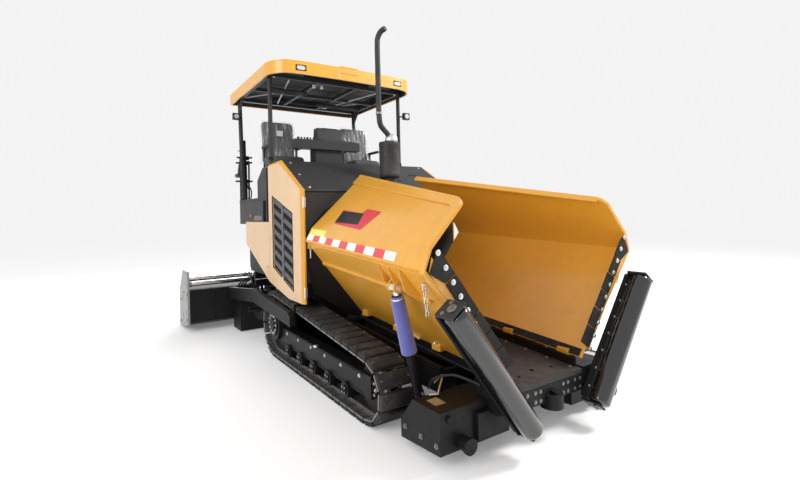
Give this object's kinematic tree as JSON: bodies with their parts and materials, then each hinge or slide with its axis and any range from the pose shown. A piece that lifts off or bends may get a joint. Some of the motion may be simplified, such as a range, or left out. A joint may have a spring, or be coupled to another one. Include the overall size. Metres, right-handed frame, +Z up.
{
  "type": "tracked asphalt paver",
  "caption": "Tracked asphalt paver with raised yellow hopper wings, folded push rollers, canopy over the operator platform and a lowered extending screed.",
  "frame": {"origin": "on the ground under the middle of the machine's bounding box", "axes": "+Z up, -Y towards the hopper and push rollers (travel direction), -X towards the right-hand side"},
  "size_m": [3.66, 6.7, 4.1698],
  "materials": {
    "yellow_paint": "gloss",
    "peach_paint": "satin",
    "grey_paint": "satin",
    "black_paint": "satin",
    "gloss_black": "gloss",
    "rubber": "matte",
    "bright_steel": "polished",
    "sleeve": "matte",
    "seat_cover": "satin"
  },
  "bodies": {
    "machine": {"chassis_frame": "black_paint", "hopper_floor": "grey_paint", "push_beam": "black_paint", "hopper_rear_wall": "black_paint", "engine_block": "grey_paint", "hood": "grey_paint", "tank_housing": "black_paint", "operator_platform": "grey_paint", "control_console": "grey_paint", "exhaust": "grey_paint", "canopy_roof": "yellow_paint", "canopy_frame": "grey_paint", "auger_carrier": "black_paint", "track_right": "rubber", "track_frame_right": "black_paint", "side_panel_right": "peach_paint", "seat_right": "seat_cover", "tow_cylinder_right": "black_paint", "toolbox_right": "grey_paint", "track_left": "rubber", "track_frame_left": "black_paint", "side_panel_left": "peach_paint", "seat_left": "seat_cover", "tow_cylinder_left": "black_paint", "toolbox_left": "grey_paint"},
    "wing_right": {"wing_right": "yellow_paint", "wing_flap_right": "rubber"},
    "wing_cylinder_barrel_right": {"wing_cylinder_barrel_right": "black_paint"},
    "wing_cylinder_rod_right": {"wing_cylinder_rod_right": "sleeve"},
    "push_roller_arm_right": {"push_roller_arm_right": "black_paint"},
    "push_roller_right": {"push_roller_right": "gloss_black"},
    "louvre_door_right": {"louvre_door_right": "peach_paint"},
    "auger_right": {"auger_right": "black_paint"},
    "screed_extension_right": {"screed_extension_right": "black_paint"},
    "wing_left": {"wing_left": "yellow_paint", "wing_flap_left": "rubber"},
    "wing_cylinder_barrel_left": {"wing_cylinder_barrel_left": "black_paint"},
    "wing_cylinder_rod_left": {"wing_cylinder_rod_left": "sleeve"},
    "push_roller_arm_left": {"push_roller_arm_left": "black_paint"},
    "push_roller_left": {"push_roller_left": "gloss_black"},
    "louvre_door_left": {"louvre_door_left": "peach_paint"},
    "auger_left": {"auger_left": "black_paint"},
    "screed_extension_left": {"screed_extension_left": "black_paint"},
    "screed": {"screed_body": "black_paint", "tow_arm_right": "black_paint", "tow_arm_left": "black_paint"},
    "lift_cylinder_barrel_right": {"lift_cylinder_barrel_right": "black_paint"},
    "lift_cylinder_rod_right": {"lift_cylinder_rod_right": "bright_steel"},
    "lift_cylinder_barrel_left": {"lift_cylinder_barrel_left": "black_paint"},
    "lift_cylinder_rod_left": {"lift_cylinder_rod_left": "bright_steel"}
  },
  "joints": [
    {"name": "wing_right_hinge", "type": "hinge", "parent": "machine", "child": "wing_right", "pos_m": [-0.43, -3.09, 0.505], "axis": [0, -0.9976, -0.0698], "range_deg": [0, 38]},
    {"name": "wing_cylinder_right_swing", "type": "hinge", "parent": "machine", "child": "wing_cylinder_barrel_right", "pos_m": [-0.82, -2.46343, 0.26], "axis": [0, -0.9976, -0.0698], "range_deg": [0, 37.04]},
    {"name": "wing_cylinder_right_stroke", "type": "slide", "parent": "wing_cylinder_barrel_right", "child": "wing_cylinder_rod_right", "axis": [-0.2657, -0.0672, 0.9617], "range_m": [-0.31593, 0]},
    {"name": "push_roller_arm_right_fold", "type": "hinge", "parent": "machine", "child": "push_roller_arm_right", "pos_m": [-0.53, -3.265, 0.4], "axis": [0, -1, 0], "range_deg": [0, 53]},
    {"name": "push_roller_right_spin", "type": "hinge", "parent": "push_roller_arm_right", "child": "push_roller_right", "pos_m": [-0.75661, -3.265, 0.66749], "axis": [-0.6018, 0, 0.7986], "continuous": true},
    {"name": "louvre_door_right_hinge", "type": "hinge", "parent": "machine", "child": "louvre_door_right", "pos_m": [-1.09, -0.725, 1.4], "axis": [0, 0, 1], "range_deg": [0, 90]},
    {"name": "auger_right_spin", "type": "hinge", "parent": "machine", "child": "auger_right", "pos_m": [-0.6, 1.46, 0.4], "axis": [1, 0, 0], "continuous": true},
    {"name": "screed_extension_right_slide", "type": "slide", "parent": "screed", "child": "screed_extension_right", "axis": [-1, 0, 0], "range_m": [-0.585, 0.6]},
    {"name": "wing_left_hinge", "type": "hinge", "parent": "machine", "child": "wing_left", "pos_m": [0.43, -3.09, 0.505], "axis": [0, 0.9976, 0.0698], "range_deg": [0, 38]},
    {"name": "wing_cylinder_left_swing", "type": "hinge", "parent": "machine", "child": "wing_cylinder_barrel_left", "pos_m": [0.82, -2.46343, 0.26], "axis": [0, 0.9976, 0.0698], "range_deg": [0, 37.04]},
    {"name": "wing_cylinder_left_stroke", "type": "slide", "parent": "wing_cylinder_barrel_left", "child": "wing_cylinder_rod_left", "axis": [0.2657, -0.0672, 0.9617], "range_m": [-0.31593, 0]},
    {"name": "push_roller_arm_left_fold", "type": "hinge", "parent": "machine", "child": "push_roller_arm_left", "pos_m": [0.53, -3.265, 0.4], "axis": [0, 1, 0], "range_deg": [0, 53]},
    {"name": "push_roller_left_spin", "type": "hinge", "parent": "push_roller_arm_left", "child": "push_roller_left", "pos_m": [0.75661, -3.265, 0.66749], "axis": [0.6018, 0, 0.7986], "continuous": true},
    {"name": "louvre_door_left_hinge", "type": "hinge", "parent": "machine", "child": "louvre_door_left", "pos_m": [1.09, -0.725, 1.4], "axis": [0, 0, -1], "range_deg": [0, 90]},
    {"name": "auger_left_spin", "type": "hinge", "parent": "machine", "child": "auger_left", "pos_m": [0.6, 1.46, 0.4], "axis": [1, 0, 0], "continuous": true},
    {"name": "screed_extension_left_slide", "type": "slide", "parent": "screed", "child": "screed_extension_left", "axis": [1, 0, 0], "range_m": [-0.585, 0.6]},
    {"name": "screed_lift", "type": "hinge", "parent": "machine", "child": "screed", "pos_m": [0, -0.52, 0.62], "axis": [1, 0, 0], "range_deg": [0, 8]},
    {"name": "lift_cylinder_right_swing", "type": "hinge", "parent": "machine", "child": "lift_cylinder_barrel_right", "pos_m": [-0.8, 1.62, 1.6], "axis": [1, 0, 0], "range_deg": [0, 7.16]},
    {"name": "lift_cylinder_right_stroke", "type": "slide", "parent": "lift_cylinder_barrel_right", "child": "lift_cylinder_rod_right", "axis": [0, 0.3257, -0.9455], "range_m": [-0.32868, 0]},
    {"name": "lift_cylinder_left_swing", "type": "hinge", "parent": "machine", "child": "lift_cylinder_barrel_left", "pos_m": [0.8, 1.62, 1.6], "axis": [1, 0, 0], "range_deg": [0, 7.16]},
    {"name": "lift_cylinder_left_stroke", "type": "slide", "parent": "lift_cylinder_barrel_left", "child": "lift_cylinder_rod_left", "axis": [0, 0.3257, -0.9455], "range_m": [-0.32868, 0]}
  ],
  "couplings": [
    {"joint": "wing_cylinder_right_swing", "follows": "wing_right_hinge", "ratio": 0.97478},
    {"joint": "wing_cylinder_right_stroke", "follows": "wing_right_hinge", "m_per_rad": -0.47559},
    {"joint": "wing_cylinder_left_swing", "follows": "wing_left_hinge", "ratio": 0.97478},
    {"joint": "wing_cylinder_left_stroke", "follows": "wing_left_hinge", "m_per_rad": -0.47559},
    {"joint": "lift_cylinder_right_swing", "follows": "screed_lift", "ratio": 0.89477},
    {"joint": "lift_cylinder_right_stroke", "follows": "screed_lift", "m_per_rad": -2.3504},
    {"joint": "lift_cylinder_left_swing", "follows": "screed_lift", "ratio": 0.89477},
    {"joint": "lift_cylinder_left_stroke", "follows": "screed_lift", "m_per_rad": -2.3504}
  ]
}
